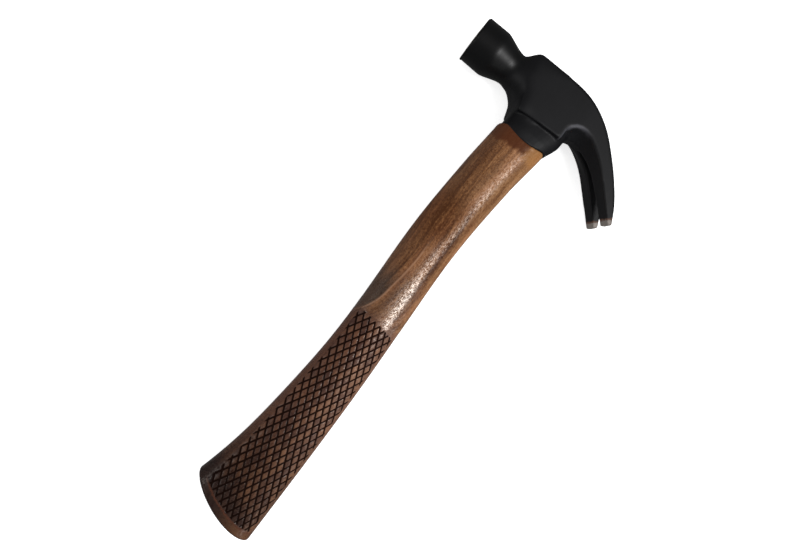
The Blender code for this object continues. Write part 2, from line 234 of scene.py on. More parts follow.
def fix_normals(obj):
    mesh = bmesh.new()
    mesh.from_mesh(obj.data)
    bmesh.ops.recalc_face_normals(mesh, faces=mesh.faces)
    mesh.to_mesh(obj.data)
    mesh.free()


def cut(target, cutter):
    """Cut one closed body out of another and remove it."""
    modifier = target.modifiers.new(cutter.name, "BOOLEAN")
    modifier.object = cutter
    modifier.operation = "DIFFERENCE"
    modifier.solver = "EXACT"
    apply_modifiers(target)
    bpy.data.objects.remove(cutter)


# ---- handle -------------------------------------------------------------------------
front_edge = smooth_curve(HANDLE_FRONT)
rear_edge = smooth_curve(HANDLE_REAR)
half_thickness = smooth_curve(HANDLE_HALF_THICKNESS)
front_strip = smooth_curve(PATTERN_FRONT_STRIP)
grain_line = smooth_curve(GRAIN_LINE)


def middle_and_half(y):
    """Middle of the handle along X at a height, and half its length along X there."""
    front, rear = front_edge(y), rear_edge(y)
    return (front + rear) / 2, (rear - front) / 2


def collar_edge(x):
    """Height of the collar's lower edge at x: level, with a lobe hanging down at each side."""
    t = np.clip((x - LOBE_CENTRE_X) / LOBE_HALF_LENGTH, -1, 1)
    return COLLAR_BOTTOM_Y - LOBE_DEPTH * (1 - t * t)


def butt_height(x):
    """Height of the butt's slanted and bulging end at x."""
    middle, half_length = middle_and_half(BUTT_MIDDLE_Y)
    across = (x - middle) / half_length
    return BUTT_MIDDLE_Y + BUTT_SLANT * (x - middle) + BUTT_BULGE * across * across


def section(y, inset=0.0):
    """x and z of the ring of one level section of the handle."""
    middle, half_length = middle_and_half(y)
    half_length, half_width = half_length - inset, half_thickness(y) - inset
    unit_x, unit_z = unit_oval(half_length, half_width, HANDLE_SQUARENESS)
    return middle + half_length * unit_x, half_width * unit_z


def tenon_row(y, inset=0.0):
    """Ring of the tenon; y may be one height or one for each column."""
    y = np.broadcast_to(np.asarray(y, float), 2 * HALF_COLUMNS)
    above = EYE_TOP_GROWTH * (y - EYE_WAIST_Y) / (HEAD_TOP_Y - EYE_WAIST_Y)
    below = EYE_BOTTOM_GROWTH * (EYE_WAIST_Y - y) / (EYE_WAIST_Y - COLLAR_BOTTOM_Y)
    growth = np.where(y > EYE_WAIST_Y, above, below)
    unit_x, unit_z = unit_oval(EYE_LENGTH / 2, EYE_WIDTH / 2, EYE_SQUARENESS)
    half_length = (EYE_LENGTH + growth) / 2 - FIT_GAP - inset
    half_width = (EYE_WIDTH + growth) / 2 - FIT_GAP - inset
    return EYE_CENTRE_X + half_length * unit_x, y, half_width * unit_z


def collar_row(share):
    """Ring between the first level one and the collar's curved edge, which it reaches at share 1."""
    x, z = section(BELOW_COLLAR_Y)
    y = between(BELOW_COLLAR_Y, collar_edge(x) - FIT_GAP, share)
    middle, half_length = middle_and_half(BELOW_COLLAR_Y)
    across = (x - middle) / half_length
    middle, half_length = middle_and_half(y)
    return middle + across * half_length, y, z * half_thickness(y) / half_thickness(BELOW_COLLAR_Y)


def shoulder_rows():
    """Rings where the tenon widens to the shaft, with a rounded edge just under the collar."""
    x, y, z = collar_row(1.0)
    rows = [tenon_row(y)]
    pulled_in = 1 - SHOULDER_ROUND / np.hypot(x - EYE_CENTRE_X, z)
    for drop, scale in ((0.0, pulled_in), (0.3 * SHOULDER_ROUND, between(pulled_in, 1.0, 0.7))):
        rows.append((EYE_CENTRE_X + (x - EYE_CENTRE_X) * scale, y - drop, z * scale))
    return rows + [collar_row(share) for share in (0.93, 0.8, 0.6, 0.4, 0.2, 0.0)]


def leaning_row(y, lean, inset=0.0):
    """Ring that leans by a share of the butt's slant and bulge."""
    x, z = section(y, inset)
    middle, half_length = middle_and_half(y)
    across = (x - middle) / (half_length - inset)
    return x, y + lean * (BUTT_SLANT * (x - middle) + BUTT_BULGE * across * across), z


def end_row(scale):
    """Ring of the butt's end face, a smaller copy of its rim that follows the same bulge."""
    x, z = section(BUTT_MIDDLE_Y, BUTT_EDGE_RADIUS)
    middle = middle_and_half(BUTT_MIDDLE_Y)[0]
    x = middle + (x - middle) * scale
    return x, butt_height(x), z * scale


def handle_rows():
    """Rings from the top of the tenon down to the middle of the butt's end face."""
    rows = [tenon_row(TENON_TOP_Y, TENON_CHAMFER), tenon_row(TENON_TOP_Y - TENON_CHAMFER),
            tenon_row(EYE_WAIST_Y)]
    rows += shoulder_rows()
    shaft_end = PATTERN_TOP_FRONT[1] + DIAMOND_LENGTH
    shaft = np.linspace(BELOW_COLLAR_Y - 2.0, shaft_end, SHAFT_ROWS)
    upper_grip = np.arange(shaft_end - GRIP_ROW, GRIP_END_Y, -GRIP_ROW)
    rows += [leaning_row(y, 0.0) for y in (*shaft, *upper_grip)]
    rim_y = BUTT_MIDDLE_Y + BUTT_EDGE_RADIUS
    lower_grip = np.linspace(0, 1, round((GRIP_END_Y - rim_y) / GRIP_ROW) + 1)
    rows += [leaning_row(between(GRIP_END_Y, rim_y, t), t * t) for t in lower_grip]
    for turn in np.radians((20, 40, 60, 80)):
        rows.append(leaning_row(BUTT_MIDDLE_Y + BUTT_EDGE_RADIUS * (1 - math.sin(turn)), 1.0,
                                BUTT_EDGE_RADIUS * (1 - math.cos(turn))))
    return rows + [end_row(scale) for scale in (1.0, 0.93, 0.82, 0.66, 0.45, 0.22)]


def diamond_pattern(x, y):
    """How deep in a groove each point lies, from 0 to 1, and a random tone for its diamond."""
    from_x, from_y = x - GROOVE_CROSSING[0], y - GROOVE_CROSSING[1]
    across = (from_x * math.cos(DIAMOND_TILT) + from_y * math.sin(DIAMOND_TILT)) / DIAMOND_WIDTH
    along = (from_y * math.cos(DIAMOND_TILT) - from_x * math.sin(DIAMOND_TILT)) / DIAMOND_LENGTH
    groove_spacing = 1 / math.hypot(1 / DIAMOND_WIDTH, 1 / DIAMOND_LENGTH)
    depth = np.zeros(x.shape)
    for lines in (across + along, across - along):
        distance = np.abs(lines - np.rint(lines)) * groove_spacing
        depth = np.maximum(depth, ease(GROOVE_HALF_WIDTH, 0, distance))

    slope = (PATTERN_TOP_REAR[1] - PATTERN_TOP_FRONT[1]) / (PATTERN_TOP_REAR[0] - PATTERN_TOP_FRONT[0])
    top = PATTERN_TOP_FRONT[1] + slope * (x - PATTERN_TOP_FRONT[0])
    inside = np.minimum.reduce([top - y, y - butt_height(x) - PATTERN_BUTT_MARGIN,
                                x - front_edge(y) - front_strip(y),
                                rear_edge(y) - PATTERN_REAR_STRIP - x])
    tones = np.random.default_rng(7).random(4096)
    diamond = np.floor(across + along).astype(int) * 61 + np.floor(across - along).astype(int) * 17
    tone = np.where(inside > 0, tones[diamond % len(tones)], 0.5)
    return depth * ease(0, GROOVE_RUN_OUT, inside), tone


def outward(points):
    """Outward direction at each point of rings that close on themselves."""
    around = np.roll(points, -1, axis=1) - np.roll(points, 1, axis=1)
    along = np.gradient(points, axis=0)
    normals = np.cross(along, around)
    normals /= np.linalg.norm(normals, axis=2, keepdims=True) + 1e-12
    from_middle = points - points.mean(axis=1, keepdims=True)
    return normals * np.sign((from_middle * normals).sum())


def closed_mesh(name, points):
    """Closed body from rings of points, with a point in the middle of the first and last ring."""
    count, columns = points.shape[:2]
    index = np.arange(count * columns).reshape(count, columns)
    following = np.roll(index, -1, axis=1)
    quads = np.stack([index[:-1], index[1:], following[1:], following[:-1]], axis=-1)
    faces = quads.reshape(-1, 4).tolist()
    all_points = points.reshape(-1, 3).tolist()
    for row in (0, count - 1):
        middle = len(all_points)
        all_points.append(points[row].mean(axis=0).tolist())
        ring = index[row].tolist()
        for i, j in zip(ring, ring[1:] + ring[:1]):
            faces.append([i, j, middle] if row == 0 else [j, i, middle])
    body = mesh_object(name, all_points, faces)
    fix_normals(body)
    return body


def make_handle():
    points = np.array([np.stack(np.broadcast_arrays(*row), axis=1) for row in handle_rows()])
    depth, tone = diamond_pattern(points[..., 0], points[..., 1])
    points = points - outward(points) * (GROOVE_DEPTH * depth)[..., None]
    handle = closed_mesh("wooden_handle", points)

    x, y = points[..., 0].ravel(), points[..., 1].ravel()
    across = (x - front_edge(y)) / (rear_edge(y) - front_edge(y))
    # Each attribute's values at the rings' points, and its value at the two points in the ends.
    for name, values, at_ends in (("groove", depth.ravel(), 0.0), ("tone", tone.ravel(), 0.5),
                                  ("across", across, 0.5), ("off_grain", x - grain_line(y), 0.0),
                                  ("above_end", y - butt_height(x), 0.0)):
        add_attribute(handle, name, np.append(values, [at_ends, at_ends]))

    cut(handle, kerf_cutter())
    for sign in (-1, 1):
        cut(handle, steel_slot_cutter(sign))
    handle.data.shade_smooth()
    handle.data.set_sharp_from_angle(angle=SHARP_ANGLE)
    return handle


def tapered_block(name, top, bottom, top_halves, bottom_halves, centre_x):
    """Block with a rectangular top and bottom; each pair of halves is along X and along Z."""
    points = []
    for y, (half_x, half_z) in ((top, top_halves), (bottom, bottom_halves)):
        points += [(centre_x + half_x, y, half_z), (centre_x - half_x, y, half_z),
                   (centre_x - half_x, y, -half_z), (centre_x + half_x, y, -half_z)]
    sides = [[i, (i + 1) % 4, (i + 1) % 4 + 4, i + 4] for i in range(4)]
    block = mesh_object(name, points, [[3, 2, 1, 0], [4, 5, 6, 7]] + sides)
    fix_normals(block)
    return block


def kerf_cutter():
    return tapered_block("kerf", TENON_TOP_Y + CUTTER_RISE, TENON_TOP_Y - KERF_DEPTH - CUTTER_RISE,
                         (CUTTER_REACH, KERF_TOP_WIDTH / 2), (CUTTER_REACH, KERF_BOTTOM_WIDTH / 2),
                         EYE_CENTRE_X)


def steel_slot_cutter(sign):
    half_width = STEEL_WEDGE_WIDTH / 2 + FIT_GAP
    return tapered_block("steel_slot", TENON_TOP_Y + CUTTER_RISE,
                         TENON_TOP_Y - STEEL_WEDGE_DEPTH - FIT_GAP,
                         (STEEL_WEDGE_THICKNESS / 2 + FIT_GAP, half_width),
                         (STEEL_WEDGE_TIP / 2 + FIT_GAP, half_width - STEEL_WEDGE_TAPER),
                         EYE_CENTRE_X + sign * STEEL_WEDGE_OFFSET)


# ---- head ---------------------------------------------------------------------------
class Skin:
    """The points of a mesh, in millimetres from the datum, and ways to smooth them."""

    def __init__(self, mesh):
        self.mesh = mesh
        self.points = to_datum(self.read("vertices", "co", 3))
        self.edges = self.read("edges", "vertices", 2, int)
        self.valence = np.bincount(self.edges.ravel(), minlength=len(self.points))

    def read(self, part, name, width, kind=float):
        items = getattr(self.mesh, part)
        flat = np.empty(len(items) * width, kind)
        items.foreach_get(name, flat)
        return flat.reshape(-1, width)

    def neighbour_mean(self, values):
        count = len(values)
        sums = np.zeros_like(values)
        for axis in range(values.shape[1]):
            sums[:, axis] = (np.bincount(self.edges[:, 0], values[self.edges[:, 1], axis], count)
                             + np.bincount(self.edges[:, 1], values[self.edges[:, 0], axis], count))
        return sums / self.valence[:, None]

    def even_out(self, rounds):
        """Smooth away the remesh's steps: each pull inwards is followed by a push outwards."""
        for _ in range(rounds):
            for pull in (0.5, -0.52):
                self.points = self.points + pull * (self.neighbour_mean(self.points) - self.points)

    def ease_over(self, strength, rounds):
        """Plain smoothing, which rounds edges and fills corners; strength is 0 to 1 at each point."""
        for _ in range(rounds):
            pull = 0.5 * strength[:, None]
            self.points = self.points + pull * (self.neighbour_mean(self.points) - self.points)

    def write(self):
        self.mesh.vertices.foreach_set("co", to_world(self.points).ravel())
        self.mesh.update()

    def bend(self):
        """How far each point stands out from its neighbours, evened out a little."""
        normals = self.read("vertices", "normal", 3)
        bend = ((self.points - self.neighbour_mean(self.points)) * normals).sum(axis=1)[:, None]
        for _ in range(3):
            bend = self.neighbour_mean(bend)
        return bend[:, 0]


def distance_to_path(x, y, path):
    """Distance of each point to a broken line, and how far along the line its nearest place is."""
    nearest = np.full(x.shape, np.inf)
    place = np.zeros(x.shape)
    passed = 0.0
    for (ax, ay), (bx, by) in zip(path, path[1:]):
        length = math.hypot(bx - ax, by - ay)
        t = np.clip(((x - ax) * (bx - ax) + (y - ay) * (by - ay)) / length**2, 0, 1)
        distance = np.hypot(x - ax - t * (bx - ax), y - ay - t * (by - ay))
        place = np.where(distance < nearest, passed + t * length, place)
        nearest = np.minimum(distance, nearest)
        passed += length
    return nearest, place


def poll_radius(x):
    """Radius of the turned poll at x, with its ridge rounded over."""
    step = 0.1
    places = np.arange(FACE_X - 15, NECK_X + 15, step)
    corners, radii = np.array(POLL_PROFILE).T
    reach = np.arange(-5, 5 + step, step)
    weights = np.exp(-0.5 * (reach / RIDGE_ROUNDING) ** 2)
    softened = np.convolve(np.interp(places, corners, radii), weights / weights.sum(), mode="same")
    return np.interp(x, places, softened)


def turn_poll(points):
    """Make the CAD's many-sided poll round, as far as the neck, and its profile soft."""
    x, y, z = points.T
    side = 2 * math.pi / POLL_SIDES
    off_middle = np.abs(np.arctan2(z, y) % side - side / 2)
    on_face = np.cos(off_middle) / math.cos(side / 2)
    scale = np.where(x > FACE_X + 1.0, poll_radius(x) / np.hypot(y, z), on_face)
    points[:, 1:] *= between(scale, 1.0, ease(NECK_X - 0.5, NECK_X + 2.5, x))[:, None]


def flare_cheeks(skin):
    """Let the cheeks run out towards the neck in a long soft slope instead of a step."""
    x, y, z = skin.points.T
    slope = ease(NECK_X - 2, NECK_X + 4, x) * ease(4, -8, x) * ease(4, 7, np.abs(z))
    for _ in range(150):
        z += 0.5 * slope * (skin.neighbour_mean(z[:, None])[:, 0] - z)
    skin.ease_over(0.8 * ease(NECK_X - 6, NECK_X, x) * ease(-8, -14, x), 16)


def make_head():
    """Forged head: the CAD solid remeshed finely, then eased over by smoothing where a forging is."""
    head = add_object("forged_head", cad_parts["head"].data.copy())
    remesh = head.modifiers.new("remesh", "REMESH")
    remesh.mode = "VOXEL"
    remesh.voxel_size = HEAD_VOXEL * MM
    apply_modifiers(head)

    skin = Skin(head.data)
    skin.even_out(8)
    turn_poll(skin.points)
    flare_cheeks(skin)
    rim_distance, rim_place = distance_to_path(skin.points[:, 0], skin.points[:, 1], SCOOP_RIM)
    skin.ease_over(ease(3.2, 1.2, rim_distance) * ease(60, 25, rim_place), 22)
    skin.ease_over(0.8 * ease(30, 40, skin.points[:, 0]), 6)
    x, y, z = skin.points.T
    on_face = ease(FACE_X + 0.3, FACE_X + 0.05, x)
    x -= FACE_CROWN * on_face * np.clip(1 - (np.hypot(y, z) / FACE_RADIUS) ** 2, 0, 1)
    skin.write()

    add_attribute(head, "edge", skin.bend())
    rim_distance, rim_place = distance_to_path(x, y, SCOOP_RIM)
    # Where the scoop's rim is painted lighter, fading along it: rubbed paint and a painted highlight.
    on_rim = ease(1.5, 0.3, rim_distance) * ease(10.5, 12.5, np.abs(z)) * ease(27, 14, rim_place)
    add_attribute(head, "rim", on_rim)
    head.data.shade_smooth()
    return head


# ---- materials ----------------------------------------------------------------------
class Shader:
    """Short names for building a material's node tree, in millimetres from the datum."""

    def __init__(self, name):
        self.material = bpy.data.materials.new(name)
        self.material.use_nodes = True
        self.tree = self.material.node_tree
        self.surface = self.tree.nodes["Principled BSDF"]
        place = self.node("ShaderNodeNewGeometry").outputs["Position"]
        moved = self.vector("SUBTRACT", place, tuple(DATUM))
        self.place = self.vector("DIVIDE", moved, (MM, MM, MM))
        self.x, self.y, self.z = self.node("ShaderNodeSeparateXYZ", Vector=self.place).outputs

    def link(self, value, socket):
        if isinstance(value, bpy.types.NodeSocket):
            self.tree.links.new(value, socket)
        elif value is not None:
            if isinstance(value, tuple) and len(value) == 3 and socket.type == "RGBA":
                value = (*value, 1.0)
            socket.default_value = value

    def node(self, kind, **inputs):
        made = self.tree.nodes.new(kind)
        for key, value in inputs.items():
            self.link(value, made.inputs[key.replace("_", " ")])
        return made

    def vector(self, operation, a, b):
        made = self.tree.nodes.new("ShaderNodeVectorMath")
        made.operation = operation
        self.link(a, made.inputs[0])
        self.link(b, made.inputs[1])
        return made.outputs["Vector"]

    def math(self, operation, a, b=None):
        made = self.tree.nodes.new("ShaderNodeMath")
        made.operation = operation
        self.link(a, made.inputs[0])
        self.link(b, made.inputs[1])
        return made.outputs[0]

    def add(self, first, *others):
        for other in others:
            first = self.math("ADD", first, other)
        return first

    def multiply(self, first, *others):
        for other in others:
            first = self.math("MULTIPLY", first, other)
        return first

    def subtract(self, a, b):
        return self.math("SUBTRACT", a, b)

    def less(self, share):
        """What is left of 1 when share is taken away."""
        return self.subtract(1.0, share)

    def sway(self, noise, size):
        """Change of up to half of size either way, from noise between 0 and 1."""
        return self.multiply(self.subtract(noise, 0.5), size)

    def step(self, value, start, end, low=0.0, high=1.0):
        """Smooth change from low to high as value goes from start to end."""
        made = self.tree.nodes.new("ShaderNodeMapRange")
        made.interpolation_type = "SMOOTHSTEP"
        for item, socket in zip((value, start, end, low, high), made.inputs):
            self.link(item, socket)
        return made.outputs[0]

    def noise(self, stretch, detail=4.0, roughness=0.55, offset=(0.0, 0.0, 0.0)):
        """Noise whose grains are stretch millimetres long along X, Y and Z."""
        shrunk = self.vector("DIVIDE", self.place, tuple(stretch))
        moved = self.vector("ADD", shrunk, offset)
        made = self.node("ShaderNodeTexNoise", Vector=moved, Scale=1.0, Detail=detail, Roughness=roughness)
        return made.outputs["Fac"]

    def mix(self, share, a, b, kind="MIX"):
        made = self.tree.nodes.new("ShaderNodeMix")
        made.data_type = "RGBA"
        made.blend_type = kind
        self.link(share, made.inputs[0])
        self.link(a, made.inputs[6])
        self.link(b, made.inputs[7])
        return made.outputs[2]

    def tint(self, colour, factors):
        return self.mix(1.0, colour, factors, "MULTIPLY")

    def cover(self, colour, strength, where, top):
        """Lay the colour top over another one where a mask is 1, as strongly as strength says."""
        return self.mix(self.multiply(where, strength), colour, top)

    def ramp(self, value, stops):
        made = self.tree.nodes.new("ShaderNodeValToRGB")
        elements = made.color_ramp.elements
        while len(elements) < len(stops):
            elements.new(0.5)
        for element, (place, colour) in zip(elements, stops):
            element.position = place
            element.color = (*colour, 1.0)
        self.link(value, made.inputs[0])
        return made.outputs[0]

    def attribute(self, name):
        made = self.tree.nodes.new("ShaderNodeAttribute")
        made.attribute_name = name
        return made.outputs["Fac"]

    def bump(self, height, depth):
        """Bump whose height 0 to 1 stands for depth millimetres."""
        return self.node("ShaderNodeBump", Height=height, Strength=1.0, Distance=depth * MM).outputs["Normal"]

    def set(self, **inputs):
        for key, value in inputs.items():
            self.link(value, self.surface.inputs[key.replace("_", " ")])


TURNED_PAINT = ((0.0008, 0.0008, 0.0009), (0.0018, 0.0018, 0.0022))
FORGED_PAINT_WITH_PAINTED_LIGHT = ((0.0022, 0.0022, 0.0026), (0.0038, 0.0038, 0.0050))
BARE_STEEL = ((0.10, 0.085, 0.075), (0.19, 0.17, 0.155))
RUBBED_RIM_AND_HIGHLIGHT = (0.060, 0.060, 0.070)
THIN_RUST = (0.060, 0.026, 0.014)


def black_paint():
    s = Shader("black_paint_on_steel")
    cloudy = s.noise((14, 14, 14), detail=3)
    grain = s.noise((0.5, 0.5, 0.5), detail=3)
    blotch = s.noise((1.6, 1.6, 1.6), detail=5)
    scratch = s.noise((0.6, 9, 0.6), detail=3, offset=(3.1, 7.7, 1.9))

    # The forged body's paint is lighter than the turned poll's: partly duller paint of its own, partly
    # painted light for the reflection on the cheek and the fill on the throat and collar.
    body = s.step(s.x, NECK_X - 3.0, NECK_X + 7.0)
    paint = s.mix(body, s.mix(cloudy, *TURNED_PAINT), s.mix(cloudy, *FORGED_PAINT_WITH_PAINTED_LIGHT))
    # Lighter grey on the scoop's rim: rubbed paint, and a painted highlight brightest near its upper front
    # end.
    colour = s.cover(paint, 0.55, s.attribute("rim"), RUBBED_RIM_AND_HIGHLIGHT)

    worn = s.multiply(s.step(s.attribute("edge"), 0.04, 0.08), s.step(blotch, 0.47, 0.62), 0.2)
    along = s.add(s.multiply(s.x, CLAW_DIRECTION[0]), s.multiply(s.y, CLAW_DIRECTION[1]))
    ragged = s.subtract(s.add(along, s.multiply(blotch, 2.5)), CLAW_BARE_FROM)
    tips = s.step(ragged, 0.0, 1.0)
    from_axis = s.math("SQRT", s.add(s.multiply(s.y, s.y), s.multiply(s.z, s.z)))
    face = s.multiply(s.step(s.x, FACE_X + 0.3, FACE_X + 0.1),
                      s.step(from_axis, FACE_RADIUS - 0.4, FACE_RADIUS - 1.0))
    bare = s.math("MAXIMUM", worn, s.math("MAXIMUM", tips, face))
    colour = s.mix(bare, colour, s.mix(s.noise((0.4, 3, 0.4)), *BARE_STEEL))
    rust_line = s.multiply(s.step(ragged, -0.7, 0.0), s.step(ragged, 1.2, 0.3))
    colour = s.cover(colour, 0.8, rust_line, THIN_RUST)

    roughness = s.add(s.multiply(cloudy, 0.12), s.multiply(scratch, 0.16), s.step(body, 0.0, 1.0, 0.27, 0.38))
    height = s.add(s.multiply(grain, 0.6), s.multiply(scratch, 0.4))
    s.set(Base_Color=colour, Metallic=s.multiply(bare, 0.4), Roughness=roughness,
          Specular_IOR_Level=s.step(body, 0.0, 1.0, 0.26, 0.21), Normal=s.bump(height, 0.03))
    return s.material


WOOD_TONES = [(0.24, (0.040, 0.0145, 0.0056)), (0.40, (0.084, 0.034, 0.0130)),
              (0.54, (0.144, 0.065, 0.0250)), (0.72, (0.240, 0.124, 0.0560))]
RUDDY_TINT = (1.04, 0.88, 0.86)
PORES = (0.035, 0.013, 0.006)
PALE_GRAIN = (0.26, 0.14, 0.08)
DARK_CORNER = (0.022, 0.014, 0.010)
COLLAR_DARK_BAND = (0.046, 0.014, 0.006)
GOLDEN_WOOD = (0.230, 0.105, 0.032)
FRONT_BROWN_AND_SHADE = (0.050, 0.024, 0.014)
GRIP_UPPER = (0.044, 0.0215, 0.0150)
GRIP_LOWER = (0.012, 0.0065, 0.005)
GRIP_REAR = (0.128, 0.072, 0.047)
BUTT_DARK = (0.008, 0.005, 0.005)
BAND_LINE = (0.052, 0.018, 0.009)
BAND_FRONT = (0.015, 0.008, 0.006)
BAND_REAR = (0.070, 0.032, 0.014)
END_RIM = (0.010, 0.006, 0.005)
DIAMOND_TINTS = ((0.66, 0.63, 0.74), (1.36, 1.28, 1.22))
GROOVE_DIRT_AND_SHADE = (0.0050, 0.0022, 0.0015)
VARNISH_TINT = (1.0, 0.91, 0.83)
DARK_REACH_Y = -99.0          # middle of the darker, duller stretch of the shaft
GRIP_TOP_Y = -164.0


class Wood(Shader):
    """The handle's material. Across runs from 0 at the front edge to 1 at the rear edge."""

    def __init__(self, name):
        super().__init__(name)
        self.groove, self.tone = self.attribute("groove"), self.attribute("tone")
        self.across, self.above_end = self.attribute("across"), self.attribute("above_end")
        self.off_grain = self.attribute("off_grain")
        # The noises follow the curved grain line.
        self.place = self.node("ShaderNodeCombineXYZ", X=self.off_grain, Y=self.y, Z=self.z).outputs[0]
        self.drift = self.noise((7, 55, 9), detail=2, offset=(2.0, 3.0, 1.0))
        self.speckle = self.noise((1.1, 1.7, 1.1), detail=4, roughness=0.8, offset=(9.0, 2.0, 4.0))
        self.fibre = self.noise((0.35, 4.5, 0.35), detail=4, offset=(1.0, 4.0, 8.0))
        self.wobble = self.noise((3.0, 9.0, 3.0))
        from_dark = self.math("ABSOLUTE", self.subtract(self.y, DARK_REACH_Y))
        self.dark_reach = self.multiply(self.step(from_dark, 26.0, 6.0), self.step(self.across, 0.8, 0.6))
        # The darker band below the collar ends in a ragged line, and not at the rear.
        self.ragged_y = self.add(self.y, self.multiply(self.wobble, 9.0))
        ragged_across = self.add(self.across, self.sway(self.wobble, 0.4))
        near_collar = self.step(self.ragged_y, -39.5, -36.0)
        self.below_collar_dark = self.multiply(near_collar, self.step(ragged_across, 0.80, 0.62))


def wood_shade(s):
    """Lightness of the wood: grain and rings, then the paler and darker parts of the shaft, with a painted
    sheen along the rear edge and a band of painted shade just inside it.
    """
    streak = s.noise((1.3, 22, 1.6), detail=5, offset=(5.0, 0.0, 2.0))
    grit = s.noise((0.6, 1.0, 0.6), detail=2, offset=(4.0, 7.0, 1.0))
    rings = s.math("FRACT", s.add(s.math("DIVIDE", s.off_grain, 5.2), s.multiply(s.drift, 1.6)))
    near_collar = s.step(s.y, -95.0, -80.0)
    # Painted shade: a darker band between the varnish's highlight and the sheen of the rear edge.
    shade_between_shines = s.multiply(s.step(s.across, 0.68, 0.76), s.step(s.across, 0.90, 0.82),
                             s.step(s.y, -92.0, -112.0))
    lighter = s.add(s.multiply(s.drift, 0.42), s.multiply(streak, 0.44), s.sway(s.speckle, 0.62),
                    s.sway(grit, 0.40), s.step(s.across, 0.38, 0.62, 0.0, 0.08),
                    # Painted sheen: lighter along the rear edge.
                    s.step(s.across, 0.82, 0.92, 0.0, 0.10),
                    s.multiply(near_collar, s.step(s.across, 0.21, 0.28, 0.0, 0.07)))
    darker = s.add(s.step(rings, 0.5, 0.95, 0.0, 0.09), s.multiply(s.dark_reach, 0.09),
                   s.multiply(shade_between_shines, 0.09))
    return s.subtract(lighter, darker)


def shaft_colour(s):
    colour = s.ramp(wood_shade(s), WOOD_TONES)
    colour = s.cover(colour, 0.5, s.step(s.drift, 0.44, 0.60), s.tint(colour, RUDDY_TINT))
    colour = s.cover(colour, 0.45, s.step(s.fibre, 0.55, 0.68), PORES)
    on_line = s.step(s.math("ABSOLUTE", s.off_grain), 0.9, 0.1)
    colour = s.cover(colour, 0.5, s.multiply(on_line, s.step(s.y, -108.0, -128.0)), PALE_GRAIN)
    beyond_line = s.multiply(s.step(s.off_grain, 0.2, -1.2), s.step(s.y, -134.0, -154.0))
    colour = s.cover(colour, 0.85, beyond_line, DARK_CORNER)
    colour = s.cover(colour, 0.92, s.below_collar_dark, COLLAR_DARK_BAND)
    golden = s.multiply(s.step(s.ragged_y, -42.0, -37.0), s.step(s.across, 0.62, 0.74))
    colour = s.cover(colour, 0.55, golden, GOLDEN_WOOD)
    # Darker towards the front edge: darker wood there, and painted shade on the side turned away from the
    # lights.
    return s.cover(colour, 0.35, s.step(s.across, 0.24, 0.06), FRONT_BROWN_AND_SHADE)


def grip_colour(s, colour):
    """The grip is darkened by handling, most at the front and towards the butt."""
    on_grip = s.step(s.y, GRIP_TOP_Y, GRIP_TOP_Y - 8.0)
    handled = s.mix(s.step(s.y, -230.0, -286.0), GRIP_UPPER, GRIP_LOWER)
    to_rear = s.multiply(s.step(s.across, 0.35, 0.75), s.step(s.y, -285.0, -190.0, 0.25, 0.8))
    colour = s.cover(colour, 0.75, on_grip, s.mix(to_rear, handled, GRIP_REAR))
    near_butt = s.multiply(s.step(s.above_end, 24.0, 11.0), s.step(s.across, 0.95, 0.60))
    colour = s.cover(colour, 0.75, near_butt, BUTT_DARK)
    colour = butt_band(s, colour)
    patchy = s.add(s.sway(s.speckle, 2.2), s.tone)
    colour = s.mix(on_grip, colour, s.tint(colour, s.mix(patchy, *DIAMOND_TINTS)))
    # The checkering's grooves are near black: dirt in them, and painted shade in the recesses.
    ragged_groove = s.add(s.groove, s.sway(s.speckle, 0.6))
    in_groove = s.multiply(s.step(ragged_groove, 0.0, 0.38), s.step(s.groove, 0.0, 0.1))
    return s.cover(colour, 0.96, in_groove, GROOVE_DIRT_AND_SHADE)


def butt_band(s, colour):
    """The band below the pattern, with a thin reddish line along its top and a dark lower rim."""
    ragged_end = s.add(s.above_end, s.sway(s.speckle, 4.0))
    band = s.multiply(s.step(ragged_end, 6.2, 5.4), s.step(s.across, 0.02, 0.18))
    inner = s.mix(s.step(s.across, 0.35, 0.95), BAND_FRONT, BAND_REAR)
    colour = s.cover(colour, 0.85, band, s.mix(s.step(ragged_end, 5.4, 4.4), BAND_LINE, inner))
    rim = s.multiply(s.step(s.above_end, 1.3, 0.5), s.step(s.above_end, -0.3, 0.2))
    return s.cover(colour, 0.85, rim, END_RIM)


def varnished_wood():
    s = Wood("varnished_wood")
    colour = grip_colour(s, shaft_colour(s))
    # The varnish shines in specks: most at the lower end of the shaft, little on the grip.
    shine = s.multiply(s.less(s.step(s.groove, 0.05, 0.5)), s.step(s.y, -130.0, -150.0, 0.61, 1.4),
                       s.step(s.y, GRIP_TOP_Y - 10.0, GRIP_TOP_Y - 3.0, 0.3, 1.0),
                       s.step(s.speckle, 0.38, 0.62, 0.1, 0.9), s.less(s.multiply(s.dark_reach, 0.8)),
                       s.less(s.multiply(s.below_collar_dark, 0.8)))
    height = s.add(s.multiply(s.speckle, 0.6), s.multiply(s.fibre, 0.4))
    s.set(Base_Color=colour, Normal=s.bump(height, 0.09), Roughness=s.step(s.speckle, 0.38, 0.62, 0.38, 0.23),
          Specular_IOR_Level=shine, Specular_Tint=VARNISH_TINT)
    return s.material


END_GRAIN_TONES = [(0.2, (0.20, 0.11, 0.05)), (0.5, (0.42, 0.26, 0.13)), (0.8, (0.60, 0.42, 0.24))]
END_GRAIN_RING = 1.3
WEDGE_STEEL = (0.50, 0.49, 0.47)
WEDGE_RUST = (0.22, 0.10, 0.05)


